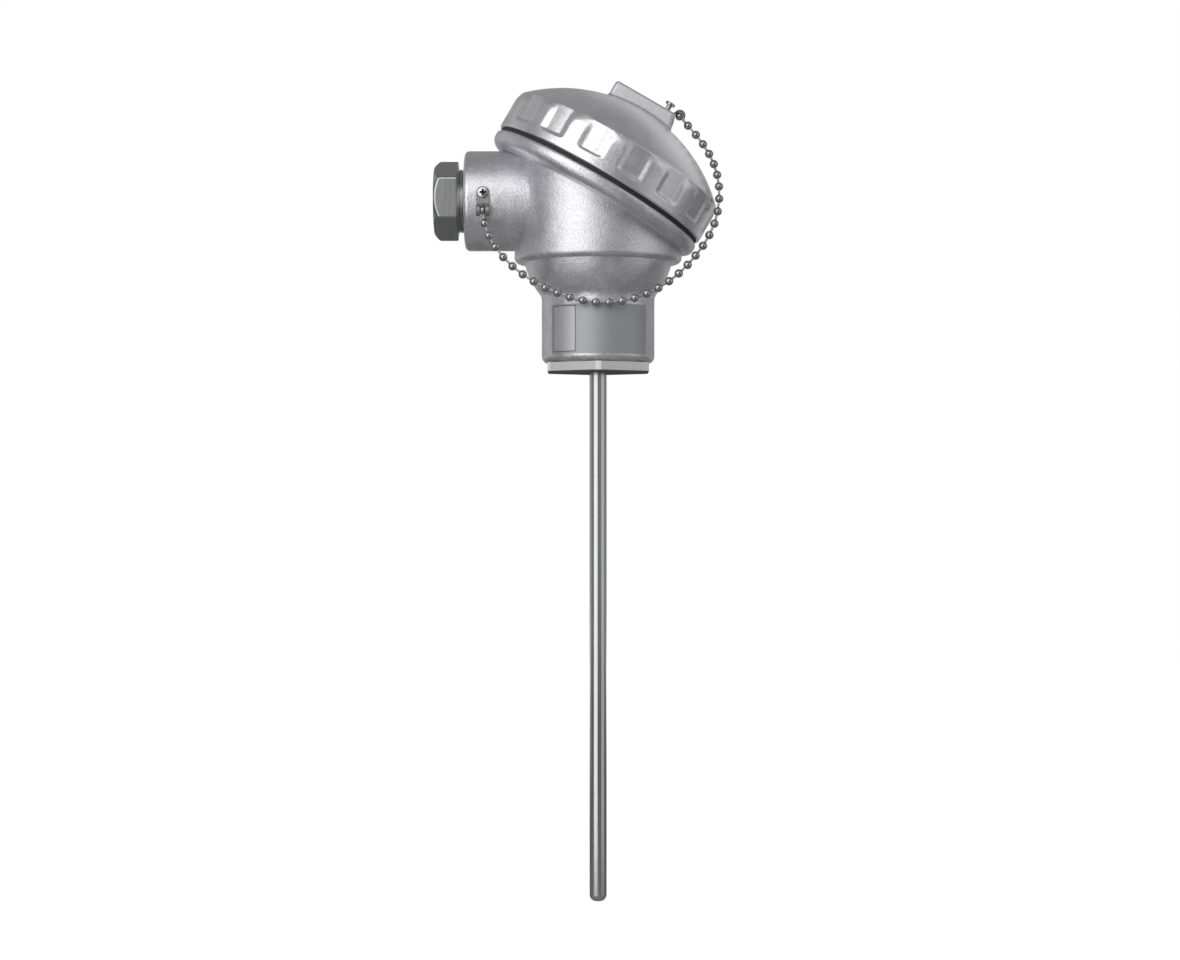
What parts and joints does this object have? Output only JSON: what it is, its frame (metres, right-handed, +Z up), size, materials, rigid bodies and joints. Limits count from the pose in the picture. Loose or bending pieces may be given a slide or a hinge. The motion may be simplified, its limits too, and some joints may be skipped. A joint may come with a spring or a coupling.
{
  "type": "temperature sensor with connection head",
  "caption": "Immersion temperature sensor: thin steel stem on a hexagon fitting, tilted cast head with domed screw cap on a bead chain, side cable gland, transmitter inside.",
  "frame": {"origin": "on the stem's axis at the underside of the hexagon plate, where the immersion length starts", "axes": "+Z up along the stem into the head, -X out through the cable gland, and the cap's axis tilts 30 degrees from +Z towards +X; the chain hangs on the -Y side"},
  "size_m": [0.1084, 0.0866, 0.3091],
  "materials": {
    "cast_aluminium": "sand-blasted casting, satin",
    "black_rubber": "matt",
    "gland_steel": "turned, satin",
    "stem_steel": "drawn and polished",
    "ceramic": "fired ceramic",
    "heat_paste": "white paste",
    "glass_sleeve": "braided glass fibre",
    "wire_insulation": "fluoropolymer insulation",
    "potting_resin": "cast resin",
    "moulded_case": "moulded, fine grain",
    "terminal_brass": "nickel-free brass, machined",
    "screw_steel": "zinc-plated",
    "clip_steel": "stamped strip",
    "chain_steel": "bright nickel-plated steel"
  },
  "bodies": {
    "head": {"head_housing": "cast_aluminium", "hex_fitting": "stem_steel", "stem_tube": "stem_steel", "sensing_element": "ceramic", "tip_fill": "heat_paste", "lead_sleeve": "glass_sleeve", "element_leads": "wire_insulation", "stem_plug": "potting_resin", "transmitter_case": "moulded_case", "transmitter_terminals": "terminal_brass", "terminal_screws": "screw_steel", "transmitter_screws": "screw_steel", "ground_screw": "screw_steel", "ground_washer": "screw_steel", "gland_seal": "black_rubber", "chain_clip_lower": "clip_steel", "clip_screw_lower": "screw_steel", "chain_beads_lower": "chain_steel", "chain_links_lower": "chain_steel"},
    "lifted_chain": {"chain_beads_middle": "chain_steel", "chain_links_middle": "chain_steel"},
    "risen_seal": {"cap_gasket": "black_rubber", "chain_beads_upper": "chain_steel", "chain_links_upper": "chain_steel"},
    "cap": {"screw_cap": "cast_aluminium", "chain_clip_upper": "clip_steel", "clip_screw_upper": "screw_steel", "chain_beads_cap_end": "chain_steel", "chain_links_cap_end": "chain_steel"},
    "gland_thrust": {"gland_washer": "gland_steel"},
    "gland": {"gland_screw": "gland_steel"}
  },
  "joints": [
    {"name": "cap_lift_off", "type": "slide", "parent": "head", "child": "lifted_chain", "axis": [0.5, 0, 0.866], "range_m": [0, 0.024]},
    {"name": "cap_rise", "type": "slide", "parent": "lifted_chain", "child": "risen_seal", "axis": [0.5, 0, 0.866], "range_m": [0, 0.006]},
    {"name": "cap_turn", "type": "hinge", "parent": "risen_seal", "child": "cap", "pos_m": [0, 0, 0.0702], "axis": [0.5, 0, 0.866], "range_deg": [0, 1080.02]},
    {"name": "gland_travel", "type": "slide", "parent": "head", "child": "gland_thrust", "axis": [-1, 0, 0], "range_m": [0, 0.008]},
    {"name": "gland_turn", "type": "hinge", "parent": "gland_thrust", "child": "gland", "pos_m": [-0.05, 0, 0.0648], "axis": [-1, 0, 0], "range_deg": [0, 1920.02]}
  ],
  "couplings": [
    {"joint": "cap_turn", "follows": "cap_rise", "rad_per_m": 3141.6},
    {"joint": "gland_turn", "follows": "gland_travel", "rad_per_m": 4188.8}
  ]
}
